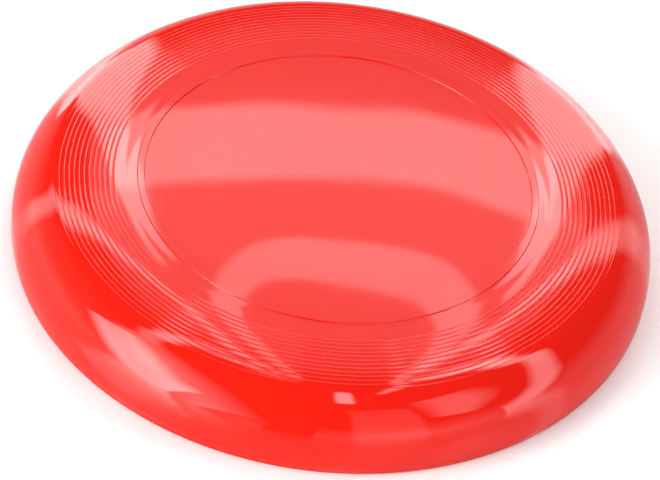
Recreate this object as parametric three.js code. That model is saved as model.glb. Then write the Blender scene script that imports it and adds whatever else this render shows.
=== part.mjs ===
// Flying disc: one injection-moulded thermoplastic shell, open underneath.
// Millimetres, +Z up. The origin is on the axis, in the plane of the edge that the disc rests on.
// The shell is a body of revolution, so it is drawn as a half-section: x is the radius, y the height.
import * as THREE from 'three';

// Overall size
const RIM_RADIUS = 115;            // widest point of the rim
const HEIGHT = 32.3;               // resting edge to the top of the crown

// Top surface: a shallow crown that falls away faster under the ribs, then turns into the round rim
const CROWN_DROP = 1.3;            // from the centre to the raised ring
const FALL_START_RADIUS = 75;
const FALL_END_RADIUS = 102;
const FALL_DROP = 0.84;            // the extra drop between those two radii
const SHOULDER_BLEND = 0.5;        // height over which the crown and the rim run into each other
const RIM_CURVE_RADIUS = 24;
const WIDEST_HEIGHT = 7.2;

// Raised ring round the plain centre plate
const RING_INNER_RADIUS = 69.1;
const RING_OUTER_RADIUS = 71.8;
const RING_HEIGHT = 0.4;
const RING_WALL_RUN = 0.2;         // how far each side of the ring leans, measured along the radius

// Fine concentric grip ribs, with a groove on each side of every rib
const RIB_COUNT = 13;
const RIB_PITCH = 1.76;
const RIB_HEIGHT = 0.2;
const FIRST_GROOVE_RADIUS = 79.2;
const LAST_GROOVE_RADIUS = FIRST_GROOVE_RADIUS + RIB_COUNT * RIB_PITCH;

// Mould parting line round the rim, a low bead
const PARTING_HEIGHT = 3.6;
const PARTING_BEAD = 0.07;
const PARTING_HALF_SLOPE = 1;      // degrees of the rim's curve on each side of the bead

// Walls and the resting edge
const PLATE_THICKNESS = 1.7;
const RIM_THICKNESS = 2.3;
const INNER_BLEND = 1.2;
const LIP_THICKNESS = 3.0;
const LIP_OUTER_ROUND = 1.2;
const LIP_INNER_ROUND = 0.9;

// Injection gate left on the underside, at the centre
const GATE_RADIUS = 4;
const GATE_TIP_RADIUS = 3.2;
const GATE_HEIGHT = 0.6;

const FACETS_AROUND = 72;
const PLASTIC_RED = 0xe3170c;

const rimCurve = { x: RIM_RADIUS - RIM_CURVE_RADIUS, y: WIDEST_HEIGHT, radius: RIM_CURVE_RADIUS };
const insideCurve = { ...rimCurve, radius: RIM_CURVE_RADIUS - RIM_THICKNESS };

/** The point of a round where its surface leans by a slope in degrees: 0 faces up, 90 faces outward. */
function pointAtSlope(round, slope) {
  const angle = THREE.MathUtils.degToRad(slope);
  return new THREE.Vector2(round.x + round.radius * Math.sin(angle), round.y + round.radius * Math.cos(angle));
}

function slopeAtRadius(round, radius) {
  return THREE.MathUtils.radToDeg(Math.asin((radius - round.x) / round.radius));
}

/** The slope at a height on the lower half of a round, below its widest point. */
function slopeAtHeight(round, height) {
  return THREE.MathUtils.radToDeg(Math.acos((height - round.y) / round.radius));
}

/** Points along a round from one slope to another, both ends included. */
function arc(round, fromSlope, toSlope, steps) {
  const points = [];
  for (let step = 0; step <= steps; step += 1) {
    points.push(pointAtSlope(round, THREE.MathUtils.lerp(fromSlope, toSlope, step / steps)));
  }
  return points;
}

/** Height of the crown at a radius: a parabola, with a cubic fall added under the ribs. */
function crownHeight(radius) {
  const bow = CROWN_DROP * (radius / RING_INNER_RADIUS) ** 2;
  const reach = Math.max(0, radius - FALL_START_RADIUS) / (FALL_END_RADIUS - FALL_START_RADIUS);
  return HEIGHT - bow - FALL_DROP * reach ** 3;
}

/** The lower of two heights, rounded off where they are closer together than the blend. */
function smoothLower(first, second, blend) {
  const closeness = Math.max(0, blend - Math.abs(first - second)) / blend;
  return Math.min(first, second) - (closeness ** 2 * blend) / 4;
}

/** Height at a radius of a surface that follows the crown and runs over into a round. */
function crownedHeight(radius, sunk, round, blend) {
  const crown = crownHeight(radius) - sunk;
  if (radius <= round.x) {
    return crown;
  }
  const roundHeight = round.y + Math.sqrt(round.radius ** 2 - (radius - round.x) ** 2);
  return smoothLower(crown, roundHeight, blend);
}

/** A point of the top surface, lifted above it by a height. */
function onTop(radius, lift = 0) {
  return new THREE.Vector2(radius, crownedHeight(radius, 0, rimCurve, SHOULDER_BLEND) + lift);
}

/** A point of the hollow's ceiling, which runs over into the inside of the rim. */
function underneath(radius, lift = 0) {
  return new THREE.Vector2(radius, crownedHeight(radius, PLATE_THICKNESS, insideCurve, INNER_BLEND) + lift);
}

function centrePlateTop() {
  return [onTop(0), onTop(RING_INNER_RADIUS / 2)];
}

function raisedRing() {
  return [
    onTop(RING_INNER_RADIUS),
    onTop(RING_INNER_RADIUS + RING_WALL_RUN, RING_HEIGHT),
    onTop(RING_OUTER_RADIUS - RING_WALL_RUN, RING_HEIGHT),
    onTop(RING_OUTER_RADIUS),
  ];
}

/** Grooves and crests in turn; the crests stand proud of the smooth surface. */
function gripRibs() {
  const points = [onTop(FIRST_GROOVE_RADIUS)];
  for (let rib = 0; rib < RIB_COUNT; rib += 1) {
    const innerGroove = FIRST_GROOVE_RADIUS + rib * RIB_PITCH;
    points.push(onTop(innerGroove + RIB_PITCH / 2, RIB_HEIGHT), onTop(innerGroove + RIB_PITCH));
  }
  return points;
}

function rimOutside() {
  const start = slopeAtRadius(rimCurve, LAST_GROOVE_RADIUS + RIB_PITCH);
  const parting = slopeAtHeight(rimCurve, PARTING_HEIGHT);
  const bead = { ...rimCurve, radius: rimCurve.radius + PARTING_BEAD };
  return [
    ...arc(rimCurve, start, 90, 9),
    pointAtSlope(rimCurve, parting - PARTING_HALF_SLOPE),
    pointAtSlope(bead, parting),
    pointAtSlope(rimCurve, parting + PARTING_HALF_SLOPE),
  ];
}

/** The rounded edge at the bottom of the rim, with a flat ring between its two rounds to rest on. */
function lip() {
  const lowestSlope = slopeAtHeight(rimCurve, LIP_OUTER_ROUND);
  const outside = pointAtSlope(rimCurve, lowestSlope).x;
  const outerRound = { x: outside - LIP_OUTER_ROUND, y: LIP_OUTER_ROUND, radius: LIP_OUTER_ROUND };
  const inside = outside - LIP_THICKNESS;
  const innerRound = { x: inside + LIP_INNER_ROUND, y: LIP_INNER_ROUND, radius: LIP_INNER_ROUND };
  return [...arc(outerRound, lowestSlope, 180, 3), ...arc(innerRound, 180, 270, 3)];
}

/** The hollow side, from above the lip up the inside of the rim and under the plate to the axis. */
function underside() {
  const wallFoot = 95;
  const wallHead = 40;
  const wall = arc(insideCurve, wallFoot, wallHead, 6);
  const bendInner = 94;
  const bend = [];
  const bendOuter = wall[wall.length - 1].x;
  for (let step = 1; step <= 4; step += 1) {
    bend.push(underneath(THREE.MathUtils.lerp(bendOuter, bendInner, step / 4)));
  }
  return [
    ...wall,
    ...bend,
    underneath(FALL_START_RADIUS),
    underneath(RING_INNER_RADIUS / 2),
    underneath(GATE_RADIUS),
    underneath(GATE_TIP_RADIUS, -GATE_HEIGHT),
    underneath(0, -GATE_HEIGHT),
  ];
}

function discShell() {
  const section = [
    ...centrePlateTop(),
    ...raisedRing(),
    ...gripRibs(),
    ...rimOutside(),
    ...lip(),
    ...underside(),
  ];
  const geometry = new THREE.LatheGeometry(section.reverse(), FACETS_AROUND);
  geometry.rotateX(Math.PI / 2);
  const material = new THREE.MeshStandardMaterial({ color: PLASTIC_RED, roughness: 0.22, metalness: 0 });
  const shell = new THREE.Mesh(geometry, material);
  shell.name = 'disc_shell';
  return shell;
}

const flyingDisc = new THREE.Group();
flyingDisc.add(discShell());

export default flyingDisc;
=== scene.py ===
"""Looks of the flying disc: one moulded plastic shell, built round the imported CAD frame.

Blender 4.5. Everything is in metres, in the frame's own axes: +Z up, the origin on the disc's axis,
in the plane that the disc rests on. Outlines are drawn in millimetres and scaled when a mesh is made.
"""
import math
from collections import namedtuple

import bmesh
import bpy
from mathutils import Matrix, Vector, noise


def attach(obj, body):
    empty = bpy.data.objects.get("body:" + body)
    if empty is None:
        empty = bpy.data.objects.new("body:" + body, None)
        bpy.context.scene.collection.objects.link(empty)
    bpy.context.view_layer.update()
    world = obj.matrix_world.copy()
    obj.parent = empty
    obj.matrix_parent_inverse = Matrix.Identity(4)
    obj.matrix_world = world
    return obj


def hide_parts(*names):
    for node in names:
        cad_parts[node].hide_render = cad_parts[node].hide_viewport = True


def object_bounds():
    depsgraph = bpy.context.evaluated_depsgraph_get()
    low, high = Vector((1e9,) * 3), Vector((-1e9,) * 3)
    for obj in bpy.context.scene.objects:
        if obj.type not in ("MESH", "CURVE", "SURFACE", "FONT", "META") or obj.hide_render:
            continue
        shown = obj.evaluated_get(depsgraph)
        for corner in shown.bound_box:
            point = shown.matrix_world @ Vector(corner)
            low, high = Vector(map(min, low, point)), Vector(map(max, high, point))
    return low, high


MM = 0.001

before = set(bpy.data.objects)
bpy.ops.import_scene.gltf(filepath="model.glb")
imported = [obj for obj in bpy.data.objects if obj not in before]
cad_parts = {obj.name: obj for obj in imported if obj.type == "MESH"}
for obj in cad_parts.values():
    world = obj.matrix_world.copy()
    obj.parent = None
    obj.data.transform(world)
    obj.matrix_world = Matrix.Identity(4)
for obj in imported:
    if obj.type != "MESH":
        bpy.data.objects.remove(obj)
CAD_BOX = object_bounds()

# Overall size, from the frame, in millimetres
RIM_RADIUS = (CAD_BOX[1].x - CAD_BOX[0].x) / 2 / MM
HEIGHT = CAD_BOX[1].z / MM

# Top surface: a shallow crown that falls away faster under the ribs, then turns into the round rim
CROWN_DROP = 1.3
FALL_START_RADIUS = 75
FALL_END_RADIUS = 102
FALL_DROP = 0.84
SHOULDER_BLEND = 0.5
WIDEST_HEIGHT = 7.2
RIM_CURVE_RADIUS = 24

# Raised ring round the plain centre plate, with a faint hollow just outside it. The margin is how far the
# fine steps of a ring wall go on past it.
RING_INNER_RADIUS = 69.1
RING_OUTER_RADIUS = 71.8
RING_HEIGHT = 0.4
RING_WALL_RUN = 0.2
WALL_MARGIN = 0.1
MOAT_WIDTH = 5.0
MOAT_DEPTH = 0.008

# Fine concentric grip ribs: round crests, narrower the sharper they are, with flats between them
RIB_COUNT = 13
RIB_PITCH = 1.76
RIB_HEIGHT = 0.035
RIB_SHARPNESS = 9
FIRST_GROOVE_RADIUS = 79.2
LAST_GROOVE_RADIUS = FIRST_GROOVE_RADIUS + RIB_COUNT * RIB_PITCH

# Mould parting line round the rim, a low bead. On each side of the line it covers so many degrees of the
# rim curve.
PARTING_HEIGHT = 3.6
PARTING_BEAD = 0.1
PARTING_HALF_SLOPE = 0.6

# Sink of the top face in cooling, which bends its reflections a little. It fades out at the foot, a share
# of the height.
SINK_DEPTH = 0.05
SINK_SPACING = 32
SINK_FOOT = 0.8

# Walls and the resting edge. Slopes are in degrees: 0 faces up, 90 faces outward.
PLATE_THICKNESS = 1.7
RIM_THICKNESS = 2.3
INNER_BLEND = 1.2
LIP_THICKNESS = 3.0
LIP_OUTER_ROUND = 1.2
LIP_INNER_ROUND = 0.9
WALL_FOOT_SLOPE = 95
WALL_HEAD_SLOPE = 40

# Injection gate left on the underside, at the centre
GATE_RADIUS = 4
GATE_HEIGHT = 0.6
GATE_ROUND = 0.8

# Divisions of the mesh
SEGMENTS_AROUND = 288
STEPS_PER_RIB = 24
WALL_STEPS = 16
PARTING_STEPS = 8
ROUND_STEPS = 10

Round = namedtuple("Round", "x y radius")
RIM_CURVE = Round(RIM_RADIUS - RIM_CURVE_RADIUS, WIDEST_HEIGHT, RIM_CURVE_RADIUS)
INSIDE_CURVE = Round(RIM_CURVE.x, RIM_CURVE.y, RIM_CURVE.radius - RIM_THICKNESS)


# ---------------------------------------------------------------- the shell's half-section

def steps_between(start, end, count):
    """Values from start to end in equal steps, without start and with end."""
    return [start + (end - start) * step / count for step in range(1, count + 1)]


def point_at_slope(round_, slope):
    """The point of a round where its surface leans by a slope: 0 faces up, 90 faces outward."""
    angle = math.radians(slope)
    return (round_.x + round_.radius * math.sin(angle), round_.y + round_.radius * math.cos(angle))


def slope_at_height(round_, height):
    """The slope at a height on the lower half of a round."""
    return math.degrees(math.acos((height - round_.y) / round_.radius))


def arc(round_, from_slope, to_slope, count):
    """Points along a round, without the first end and with the last."""
    return [point_at_slope(round_, slope) for slope in steps_between(from_slope, to_slope, count)]


def crown_height(radius):
    """A parabola, with a cubic fall added under the ribs."""
    bow = CROWN_DROP * (radius / RING_INNER_RADIUS) ** 2
    reach = max(0, radius - FALL_START_RADIUS) / (FALL_END_RADIUS - FALL_START_RADIUS)
    return HEIGHT - bow - FALL_DROP * reach ** 3


def smooth_lower(first, second, blend):
    """The lower of two heights, rounded off where they are closer together than the blend."""
    closeness = max(0, blend - abs(first - second)) / blend
    return min(first, second) - closeness ** 2 * blend / 4


def crowned_height(radius, sunk, round_, blend):
    """Height of a surface that follows the crown and runs over into a round."""
    crown = crown_height(radius) - sunk
    if radius <= round_.x:
        return crown
    round_height = round_.y + math.sqrt(round_.radius ** 2 - (radius - round_.x) ** 2)
    return smooth_lower(crown, round_height, blend)


def soft_step(value):
    """0 below 0, 1 above 1, and a smooth ramp between."""
    value = min(1, max(0, value))
    return value * value * (3 - 2 * value)


def ring_lift(radius):
    inner_wall = soft_step((radius - RING_INNER_RADIUS) / RING_WALL_RUN)
    outer_wall = soft_step((RING_OUTER_RADIUS - radius) / RING_WALL_RUN)
    return RING_HEIGHT * inner_wall * outer_wall


def moat_lift(radius):
    along = (radius - RING_OUTER_RADIUS) / MOAT_WIDTH
    if not 0 < along < 1:
        return 0
    return -MOAT_DEPTH * math.sin(math.pi * along) ** 2


def rib_lift(radius):
    along = (radius - FIRST_GROOVE_RADIUS) / RIB_PITCH
    if not 0 < along < RIB_COUNT:
        return 0
    return RIB_HEIGHT * ((1 - math.cos(2 * math.pi * along)) / 2) ** RIB_SHARPNESS


def on_top(radius):
    base = crowned_height(radius, 0, RIM_CURVE, SHOULDER_BLEND)
    return (radius, base + ring_lift(radius) + moat_lift(radius) + rib_lift(radius))


def underneath(radius, lift=0):
    return (radius, crowned_height(radius, PLATE_THICKNESS, INSIDE_CURVE, INNER_BLEND) + lift)


def top_outline():
    """From the axis out over the plate, the raised ring and the ribs."""
    inner_wall_top = RING_INNER_RADIUS + RING_WALL_RUN
    outer_wall_top = RING_OUTER_RADIUS - RING_WALL_RUN
    radii = [0]
    radii += steps_between(0, RING_INNER_RADIUS - WALL_MARGIN, 36)
    radii += steps_between(RING_INNER_RADIUS - WALL_MARGIN, inner_wall_top + WALL_MARGIN, WALL_STEPS)
    radii += steps_between(inner_wall_top + WALL_MARGIN, outer_wall_top - WALL_MARGIN, 4)
    radii += steps_between(outer_wall_top - WALL_MARGIN, RING_OUTER_RADIUS + WALL_MARGIN, WALL_STEPS)
    radii += steps_between(RING_OUTER_RADIUS + WALL_MARGIN, FIRST_GROOVE_RADIUS, 16)
    radii += steps_between(FIRST_GROOVE_RADIUS, LAST_GROOVE_RADIUS, RIB_COUNT * STEPS_PER_RIB)
    return [on_top(radius) for radius in radii]


def rim_outline():
    """From the last rib round the outside of the rim, over the parting line, to the lip."""
    shoulder_end = LAST_GROOVE_RADIUS + RIB_PITCH
    shoulder = [on_top(radius) for radius in steps_between(LAST_GROOVE_RADIUS, shoulder_end, 8)]
    start = math.degrees(math.asin((shoulder_end - RIM_CURVE.x) / RIM_CURVE.radius))
    parting = slope_at_height(RIM_CURVE, PARTING_HEIGHT)
    points = shoulder + arc(RIM_CURVE, start, 90, 36)
    points += arc(RIM_CURVE, 90, parting - PARTING_HALF_SLOPE, 6)
    for step in range(1, PARTING_STEPS + 1):
        slope = parting - PARTING_HALF_SLOPE + 2 * PARTING_HALF_SLOPE * step / PARTING_STEPS
        proud = PARTING_BEAD * math.sin(math.pi * step / PARTING_STEPS) ** 2
        points.append(point_at_slope(RIM_CURVE._replace(radius=RIM_CURVE.radius + proud), slope))
    return points


def lip_outline():
    """The rounded resting edge, with a flat ring between its two rounds."""
    lowest_slope = slope_at_height(RIM_CURVE, LIP_OUTER_ROUND)
    parting = slope_at_height(RIM_CURVE, PARTING_HEIGHT) + PARTING_HALF_SLOPE
    outside = point_at_slope(RIM_CURVE, lowest_slope)[0]
    outer_round = Round(outside - LIP_OUTER_ROUND, LIP_OUTER_ROUND, LIP_OUTER_ROUND)
    inner_round = Round(outside - LIP_THICKNESS + LIP_INNER_ROUND, LIP_INNER_ROUND, LIP_INNER_ROUND)
    points = arc(RIM_CURVE, parting, lowest_slope, 4)
    points += arc(outer_round, lowest_slope, 180, ROUND_STEPS)
    points.append(point_at_slope(inner_round, 180))
    points += arc(inner_round, 180, 270, ROUND_STEPS)
    return points


def underside_outline():
    """From above the lip up the inside of the rim and under the plate to the axis."""
    points = [point_at_slope(INSIDE_CURVE, WALL_FOOT_SLOPE)]
    points += arc(INSIDE_CURVE, WALL_FOOT_SLOPE, WALL_HEAD_SLOPE, 30)
    bend_start = points[-1][0]
    points += [underneath(radius) for radius in steps_between(bend_start, FALL_START_RADIUS, 40)]
    points += [underneath(radius) for radius in steps_between(FALL_START_RADIUS, GATE_RADIUS, 24)]
    for radius in steps_between(GATE_RADIUS, 0, 20):
        drop = GATE_HEIGHT * soft_step((GATE_RADIUS - radius) / GATE_ROUND)
        points.append(underneath(radius, -drop))
    return points


def sink_depth(place):
    """How far the top has sunk in cooling: slow, faint and uneven, and nothing below the shoulder."""
    share = soft_step((place.z / MM / HEIGHT - SINK_FOOT) / (1 - SINK_FOOT))
    wave = noise.noise(Vector((place.x, place.y, 0)) / (SINK_SPACING * MM))
    return share * SINK_DEPTH * (1 + wave) / 2


def revolve(name, outline):
    """A closed body of revolution, sunk a little on top. The outline, in millimetres, starts and ends on
    the axis."""
    mesh = bmesh.new()
    rings = []
    for radius, height in outline:
        if radius == 0:
            rings.append([mesh.verts.new((0, 0, height * MM))])
            continue
        ring = []
        for segment in range(SEGMENTS_AROUND):
            angle = 2 * math.pi * segment / SEGMENTS_AROUND
            place = (radius * math.cos(angle) * MM, radius * math.sin(angle) * MM, height * MM)
            ring.append(mesh.verts.new(place))
        rings.append(ring)
    for inner, outer in zip(rings, rings[1:]):
        for segment in range(SEGMENTS_AROUND):
            following = (segment + 1) % SEGMENTS_AROUND
            corners = [inner[segment % len(inner)], outer[segment % len(outer)]]
            corners += [outer[following % len(outer)], inner[following % len(inner)]]
            mesh.faces.new(list(dict.fromkeys(corners)))
    for vertex in mesh.verts:
        vertex.co.z -= sink_depth(vertex.co) * MM
    bmesh.ops.recalc_face_normals(mesh, faces=mesh.faces[:])
    for face in mesh.faces:
        face.smooth = True
    data = bpy.data.meshes.new(name)
    mesh.to_mesh(data)
    mesh.free()
    piece = bpy.data.objects.new(name, data)
    bpy.context.scene.collection.objects.link(piece)
    return piece


# ---------------------------------------------------------------- the plastic

# Two close reds, mixed in clouds and a little in specks. All scales here are in features per metre.
RED = (0.71, 0.0092, 0.0024, 1)
DEEPER_RED = (0.66, 0.0072, 0.0021, 1)
CLOUD_SCALE = 14
CLOUD_SHARE = 0.75
SPECK_SCALE = 2600
SPECK_SHARE = 0.25

# Gloss: nearly a mirror, a little hazier in patches and on scratches
PLASTIC_IOR = 1.5
HAZE_SCALE = 22
CLEAREST_ROUGHNESS = 0.025
HAZIEST_ROUGHNESS = 0.04
SCRATCH_ROUGHNESS = 0.18

# Relief of the moulded skin and of the scratches, as shares of a relief height in metres
RELIEF_HEIGHT = 0.000002
SKIN_SCALE = 900
SKIN_RELIEF = 0.12
SCRATCH_RELIEF = 0.5

# Hairline scratches: streaks of noise turned by some radians and squeezed across by a factor, which show
# where the noise is over its threshold. The higher it is, the fewer they are.
Scratches = namedtuple("Scratches", "turn squeeze threshold")
SCRATCH_SETS = (Scratches(0.4, 56, 0.74), Scratches(1.9, 72, 0.75), Scratches(2.7, 48, 0.76))
SCRATCH_SCALE = 40
SCRATCH_EDGE = 0.03


def add_node(tree, kind, settings=None, **inputs):
    """A shader node with its settings and its plain input values."""
    node = tree.nodes.new(kind)
    for key, value in (settings or {}).items():
        setattr(node, key, value)
    for key, value in inputs.items():
        node.inputs[key.replace("_", " ")].default_value = value
    return node


def cloud_noise(tree, place, scale, detail, stretch=(1, 1, 1), turn=0):
    """Smooth noise from 0 to 1, stretched and turned in the disc's plane."""
    mapping = add_node(tree, "ShaderNodeMapping", Scale=stretch, Rotation=(0, 0, turn))
    texture = add_node(tree, "ShaderNodeTexNoise", Scale=scale, Detail=detail)
    tree.links.new(place, mapping.inputs["Vector"])
    tree.links.new(mapping.outputs["Vector"], texture.inputs["Vector"])
    return texture.outputs["Fac"]


def remap(tree, value, low, high, to_low, to_high):
    """A value's range low to high becomes to_low to to_high, and is held there beyond it."""
    node = tree.nodes.new("ShaderNodeMapRange")
    for socket, number in zip(node.inputs[1:5], (low, high, to_low, to_high)):
        socket.default_value = number
    tree.links.new(value, node.inputs["Value"])
    return node.outputs["Result"]


def combine(tree, operation, first, second):
    node = add_node(tree, "ShaderNodeMath", {"operation": operation})
    for socket, value in zip(node.inputs, (first, second)):
        if isinstance(value, (int, float)):
            socket.default_value = value
        else:
            tree.links.new(value, socket)
    return node.outputs["Value"]


def mix_colours(tree, share, first, second):
    """The first colour where the share is 0, the second where it is 1. A Mix node's colours have no names
    of their own, only places."""
    node = add_node(tree, "ShaderNodeMix", {"data_type": "RGBA"})
    first_colour, second_colour = node.inputs[6:8]
    first_colour.default_value = first
    second_colour.default_value = second
    tree.links.new(share, node.inputs["Factor"])
    return node.outputs[2]


def scratches(tree, place):
    """Sparse hairlines in several directions, from 0 to 1."""
    total = 0
    for marks in SCRATCH_SETS:
        streak = cloud_noise(tree, place, SCRATCH_SCALE, 2, stretch=(1, marks.squeeze, 1), turn=marks.turn)
        mark = remap(tree, streak, marks.threshold, marks.threshold + SCRATCH_EDGE, 0, 1)
        total = combine(tree, "MAXIMUM", total, mark)
    return total


def plastic_colour(tree, place):
    """Two close reds, cloudy over centimetres and finely speckled."""
    clouds = remap(tree, cloud_noise(tree, place, CLOUD_SCALE, 3), 0.3, 0.7, 0, CLOUD_SHARE)
    specks = combine(tree, "MULTIPLY", cloud_noise(tree, place, SPECK_SCALE, 2), SPECK_SHARE)
    return mix_colours(tree, combine(tree, "ADD", clouds, specks), RED, DEEPER_RED)


def plastic_material():
    """Glossy opaque red thermoplastic with faint clouding, hairline scratches and a moulded skin."""
    material = bpy.data.materials.new("red_plastic")
    material.use_nodes = True
    tree = material.node_tree
    shader = tree.nodes["Principled BSDF"]
    place = add_node(tree, "ShaderNodeTexCoord").outputs["Object"]
    marks = scratches(tree, place)
    patches = cloud_noise(tree, place, HAZE_SCALE, 4)
    haze = remap(tree, patches, 0.35, 0.65, CLEAREST_ROUGHNESS, HAZIEST_ROUGHNESS)
    roughness = combine(tree, "ADD", haze, combine(tree, "MULTIPLY", marks, SCRATCH_ROUGHNESS))
    skin = combine(tree, "MULTIPLY", cloud_noise(tree, place, SKIN_SCALE, 3), SKIN_RELIEF)
    relief = combine(tree, "SUBTRACT", skin, combine(tree, "MULTIPLY", marks, SCRATCH_RELIEF))
    bump = add_node(tree, "ShaderNodeBump", Strength=1.0, Distance=RELIEF_HEIGHT)
    tree.links.new(relief, bump.inputs["Height"])
    tree.links.new(bump.outputs["Normal"], shader.inputs["Normal"])
    tree.links.new(plastic_colour(tree, place), shader.inputs["Base Color"])
    tree.links.new(roughness, shader.inputs["Roughness"])
    shader.inputs["IOR"].default_value = PLASTIC_IOR
    return material


# ---------------------------------------------------------------- the studio

# A long lens, in front of the disc and above it. The lens and the sensor are in millimetres.
CAMERA_ELEVATION = math.radians(42.6)
CAMERA_ROLL = math.radians(7.81)
CAMERA_DISTANCE = 1.6328
CAMERA_LENS = 250.6
CAMERA_SENSOR = 36
NEAREST_SEEN = 0.05
AIM = Vector((-0.33 * MM, -13.88 * MM, 0.493 * HEIGHT * MM))

# Floor and surroundings. Both are darker in reflections, and the floor is glossy only there.
FLOOR_SIZE = 16
FLOOR_TONE = 0.92
FLOOR_TONE_MIRRORED = 0.56
FLOOR_ROUGHNESS = 0.12
FILL_STRENGTH = 0.45
FILL_STRENGTH_MIRRORED = 0.12

# A soft strip of light, seen from the disc and mirrored in its plastic. Each station is (degrees to the
# right of straight up, degrees to the back of it, width in degrees, brightness). Softness is the share of
# the width over which an edge fades. Strips that cross add up.
LIGHT_DISTANCE = 25
STEPS_PER_SPAN = 12
Strip = namedtuple("Strip", "name softness stations")

STRIPS = (
    Strip("rear_arm_left", 0.12, (
        (-50, 84, 16, 4.2), (-34, 75, 13, 4.4), (-19.6, 62.4, 10.5, 4.6), (-12.2, 55.2, 7, 5),
        (-8.9, 50.6, 3, 4.6), (-7.1, 47.8, 1.6, 4.6), (-6, 45.4, 0.8, 4), (-5.1, 43.2, 0.5, 2))),
    Strip("rear_arm_right", 0.12, (
        (31, 86, 18, 4), (21.4, 72, 15, 4), (13.6, 61, 10, 4.4), (9.4, 54.8, 6, 4.4),
        (7.7, 50.6, 2.5, 4.4), (6.9, 48, 1.4, 4.4), (6.4, 46, 0.8, 4), (5.9, 43.6, 0.5, 2))),
    Strip("rear_bridge", 0.15, (
        (-8, 47.8, 3.4, 2.4), (-5.2, 48.8, 3.4, 2.6), (-2, 49.6, 3.4, 2.6), (1, 50, 3.4, 2.6),
        (4, 49.9, 3.4, 2.6), (7, 49.2, 3.4, 2.4))),
    Strip("plate_glow", 0.8, (
        (-10, 45.5, 13, 1), (-5, 46.2, 15, 1.25), (0.3, 46.4, 17, 1.25), (5, 46.4, 15, 1.25),
        (10, 46, 13, 1))),
    Strip("low_bridge", 0.1, (
        (-0.6, 30, 0.6, 3), (-1.6, 34, 0.7, 3), (-2.4, 38, 0.9, 3), (-2.9, 41.2, 1.1, 2.6),
        (-2.6, 43.2, 1.3, 2), (-1.4, 44.2, 1.8, 2), (0.4, 44.4, 1.9, 2), (2.2, 44.4, 1.9, 2),
        (3.5, 44, 1.8, 2), (4.3, 42.6, 1.4, 2.4), (4.7, 40, 1.1, 3), (4.8, 36, 0.9, 3), (4.5, 31, 0.7, 3))),
    Strip("side_arm_left", 0.5, (
        (-90, 62, 10, 1.2), (-77, 47, 9, 1.8), (-58, 40, 7, 2.4), (-36, 41, 5, 2.8), (-18, 42.4, 2.8, 4.4),
        (-11, 43, 1.6, 5.6), (-7.8, 42.3, 1.1, 5), (-5.6, 40.9, 0.8, 4.8), (-4.4, 38.6, 0.8, 4.2),
        (-3.6, 34.8, 0.8, 4.6), (-1.7, 31.3, 0.6, 3))),
    Strip("side_arm_right", 0.4, (
        (72, 84, 18, 1.2), (64, 67, 14, 1.2), (44, 53, 9, 1.6), (26, 49, 5, 2), (13, 46.6, 2.6, 4),
        (9.4, 45, 1.6, 5), (7.6, 43.6, 1.2, 4.4), (6.7, 41, 1, 4), (5.6, 38, 0.9, 4.6), (5.2, 34, 0.8, 3))),
    Strip("front_arm_right", 0.45, (
        (5.4, 32, 1.2, 4), (8.4, 34.4, 1.8, 8), (11, 33.4, 2.2, 7), (16, 27, 3, 4.6), (24, 19, 4, 4.6),
        (34, 13, 5, 4.8), (46, 6, 7, 4), (60, -3, 10, 3.4), (74, -12, 14, 3.4), (80, -26, 14, 3),
        (78, -38, 12, 2.4))),
    Strip("front_arm_left", 0.45, (
        (-1, 27, 0.8, 3.4), (-3.9, 32.1, 1.2, 3.6), (-7.3, 32.8, 1.6, 5), (-12, 26, 2.4, 5.4),
        (-19, 13, 3.6, 5.6), (-30, 0, 5, 3), (-38, -10, 7, 2.6))),
    Strip("petal", 0.35, (
        (-54, -9, 21, 5), (-60, -28, 28, 7.5), (-63, -47, 32, 7), (-59, -62, 36, 7))),
    Strip("petal_fade", 0.8, (
        (-42, -8, 12, 2.6), (-44, -30, 20, 3), (-44, -52, 26, 2.6), (-44, -74, 30, 2.6))),
    Strip("overhead_strip", 0.3, ((5.5, -6, 2, 5), (7, -18, 3.6, 6), (9.2, -31, 4.6, 6))),
    Strip("overhead_line", 0.5, ((5.4, 30, 1, 3.4), (8.7, 17, 1.6, 4.2), (13.5, -12, 2, 2.4))),
    Strip("front_patch_right", 0.5, ((30, -20, 14, 1.6), (43, -29, 20, 2), (52, -44, 14, 2))),
    Strip("front_curtain_right", 0.12, (
        (19, -37, 17, 0.3), (22.5, -44, 20, 0.6), (31, -61, 28, 0.8), (38, -75, 34, 0.8),
        (45, -88, 40, 0.8))),
    Strip("left_haze", 1.0, (
        (-84, -46, 44, 0.2), (-86, -10, 44, 0.5), (-84, 20, 44, 0.5), (-70, 50, 40, 0.3))),
    Strip("horizon", 1.0, (
        (-20, -88, 18, 0.8), (-58, -69, 18, 1), (-88, -20, 18, 0.6), (-80, 40, 18, 0.5), (-40, 80, 18, 0.5),
        (0, 90, 18, 0.5), (40, 80, 18, 0.5), (80, 40, 18, 0.5), (88, -20, 18, 0.6), (58, -69, 18, 1.2),
        (20, -88, 18, 0.9), (4, -90, 18, 0.8))),
)


def direction(across, back):
    """The unit vector of a direction given in degrees to the right and to the back of straight up."""
    tilt = math.radians(math.hypot(across, back))
    bearing = math.atan2(across, back)
    return Vector((math.sin(tilt) * math.sin(bearing), math.sin(tilt) * math.cos(bearing), math.cos(tilt)))


def smooth_path(points, step, count):
    """A Catmull-Rom curve through any tuples, at one of its steps, which count from 0 and have the same
    number in each span between two tuples."""
    span = min(step // count, len(points) - 2)
    t = step / count - span
    near = [points[max(0, min(len(points) - 1, span + offset))] for offset in (-1, 0, 1, 2)]
    values = []
    for a, b, c, d in zip(*near):
        values.append(0.5 * (2 * b + (c - a) * t + (2 * a - 5 * b + 4 * c - d) * t ** 2
                             + (3 * b - a - 3 * c + d) * t ** 3))
    return values


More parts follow.
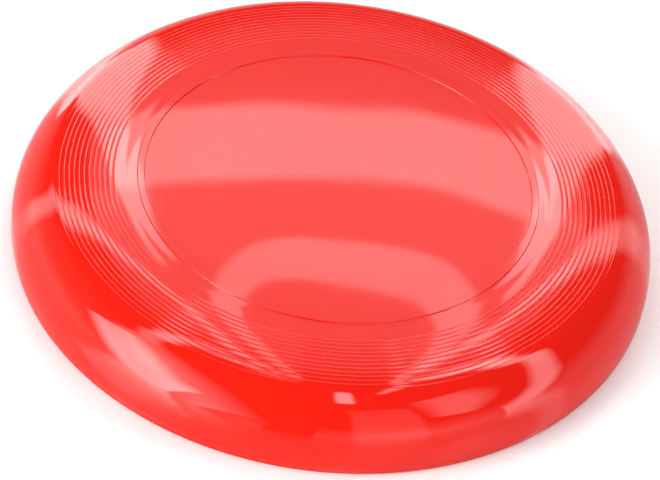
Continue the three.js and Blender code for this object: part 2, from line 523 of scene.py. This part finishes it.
def glow_material():
    """Emission as bright as each point's glow, which lets what is behind it through, so strips add up."""
    material = bpy.data.materials.new("glow")
    material.use_nodes = True
    tree = material.node_tree
    tree.nodes.clear()
    glow = add_node(tree, "ShaderNodeAttribute", {"attribute_name": "glow"})
    emission = add_node(tree, "ShaderNodeEmission")
    clear = add_node(tree, "ShaderNodeBsdfTransparent")
    both = add_node(tree, "ShaderNodeAddShader")
    output = add_node(tree, "ShaderNodeOutputMaterial")
    tree.links.new(glow.outputs["Fac"], emission.inputs["Strength"])
    tree.links.new(emission.outputs["Emission"], both.inputs[0])
    tree.links.new(clear.outputs["BSDF"], both.inputs[1])
    tree.links.new(both.outputs["Shader"], output.inputs["Surface"])
    return material


def light_strip(strip, material):
    """A ribbon on a large sphere round the disc, bright along its middle and soft at its edges."""
    last = (len(strip.stations) - 1) * STEPS_PER_SPAN
    outer = 0.5 + strip.softness / 2
    inner = 0.5 - strip.softness / 2
    lines = ((-outer, 0), (-inner, 1), (inner, 1), (outer, 0))
    mesh = bmesh.new()
    glow = mesh.verts.layers.float.new("glow")
    rows = []
    for step in range(last + 1):
        x, y, width, brightness = smooth_path(strip.stations, step, STEPS_PER_SPAN)
        before = smooth_path(strip.stations, max(step - 1, 0), STEPS_PER_SPAN)
        after = smooth_path(strip.stations, min(step + 1, last), STEPS_PER_SPAN)
        run = Vector((after[0] - before[0], after[1] - before[1])).normalized()
        row = []
        for offset, share in lines:
            place = direction(x - run.y * width * offset, y + run.x * width * offset)
            vertex = mesh.verts.new(place * LIGHT_DISTANCE)
            vertex[glow] = brightness * share if 0 < step < last else 0
            row.append(vertex)
        rows.append(row)
    for row, following in zip(rows, rows[1:]):
        for index in range(len(lines) - 1):
            mesh.faces.new((row[index], row[index + 1], following[index + 1], following[index]))
    data = bpy.data.meshes.new(strip.name)
    mesh.to_mesh(data)
    mesh.free()
    data.materials.append(material)
    ribbon = bpy.data.objects.new(strip.name, data)
    ribbon.visible_camera = False
    ribbon.visible_shadow = False
    bpy.context.scene.collection.objects.link(ribbon)
    return ribbon


def grey(level):
    return (level, level, level, 1)


def make_floor():
    """A plain pale floor in the plane that the disc rests on."""
    mesh = bmesh.new()
    bmesh.ops.create_grid(mesh, x_segments=1, y_segments=1, size=FLOOR_SIZE / 2)
    data = bpy.data.meshes.new("floor")
    mesh.to_mesh(data)
    mesh.free()
    material = bpy.data.materials.new("pale_floor")
    material.use_nodes = True
    tree = material.node_tree
    shader = tree.nodes["Principled BSDF"]
    kind = add_node(tree, "ShaderNodeLightPath")
    mirrored = kind.outputs["Is Glossy Ray"]
    tone = mix_colours(tree, mirrored, grey(FLOOR_TONE), grey(FLOOR_TONE_MIRRORED))
    tree.links.new(tone, shader.inputs["Base Color"])
    tree.links.new(mirrored, shader.inputs["Specular IOR Level"])
    shader.inputs["Roughness"].default_value = FLOOR_ROUGHNESS
    data.materials.append(material)
    floor = bpy.data.objects.new("floor", data)
    bpy.context.scene.collection.objects.link(floor)
    return floor


def make_surroundings():
    """Pale behind the floor, soft fill on matt surfaces, and dim in reflections."""
    world = bpy.data.worlds.new("studio")
    world.use_nodes = True
    tree = world.node_tree
    dim = tree.nodes["Background"]
    dim.inputs["Color"].default_value = grey(1)
    dim.inputs["Strength"].default_value = FILL_STRENGTH_MIRRORED
    pale = add_node(tree, "ShaderNodeBackground", Color=grey(1), Strength=FILL_STRENGTH)
    kind = add_node(tree, "ShaderNodeLightPath")
    mix = add_node(tree, "ShaderNodeMixShader")
    tree.links.new(kind.outputs["Is Glossy Ray"], mix.inputs["Fac"])
    tree.links.new(pale.outputs["Background"], mix.inputs[1])
    tree.links.new(dim.outputs["Background"], mix.inputs[2])
    tree.links.new(mix.outputs["Shader"], tree.nodes["World Output"].inputs["Surface"])
    bpy.context.scene.world = world


def make_camera():
    """Looks down on the front of the disc, rolled a little about the line of sight."""
    forward = Vector((0, math.cos(CAMERA_ELEVATION), -math.sin(CAMERA_ELEVATION)))
    upright = Vector((0, math.sin(CAMERA_ELEVATION), math.cos(CAMERA_ELEVATION)))
    right = Vector((math.cos(CAMERA_ROLL), 0, 0)) + upright * math.sin(CAMERA_ROLL)
    up = upright * math.cos(CAMERA_ROLL) - Vector((math.sin(CAMERA_ROLL), 0, 0))
    place = AIM - forward * CAMERA_DISTANCE
    data = bpy.data.cameras.new("camera")
    data.lens = CAMERA_LENS
    data.sensor_width = CAMERA_SENSOR
    data.clip_start = NEAREST_SEEN
    data.clip_end = 2 * LIGHT_DISTANCE
    camera = bpy.data.objects.new("camera", data)
    turn = Matrix((right, up, -forward)).transposed()
    camera.matrix_world = Matrix.Translation(place) @ turn.to_4x4()
    bpy.context.scene.collection.objects.link(camera)
    bpy.context.scene.camera = camera


def build():
    outline = top_outline() + rim_outline() + lip_outline() + underside_outline()
    shell = revolve("moulded_shell", outline)
    shell.data.materials.append(plastic_material())
    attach(shell, "root")
    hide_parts("disc_shell")
    make_camera()
    make_surroundings()
    glow = glow_material()
    make_floor()
    [light_strip(strip, glow) for strip in STRIPS]
    bpy.context.scene.view_settings.view_transform = "Standard"


build()
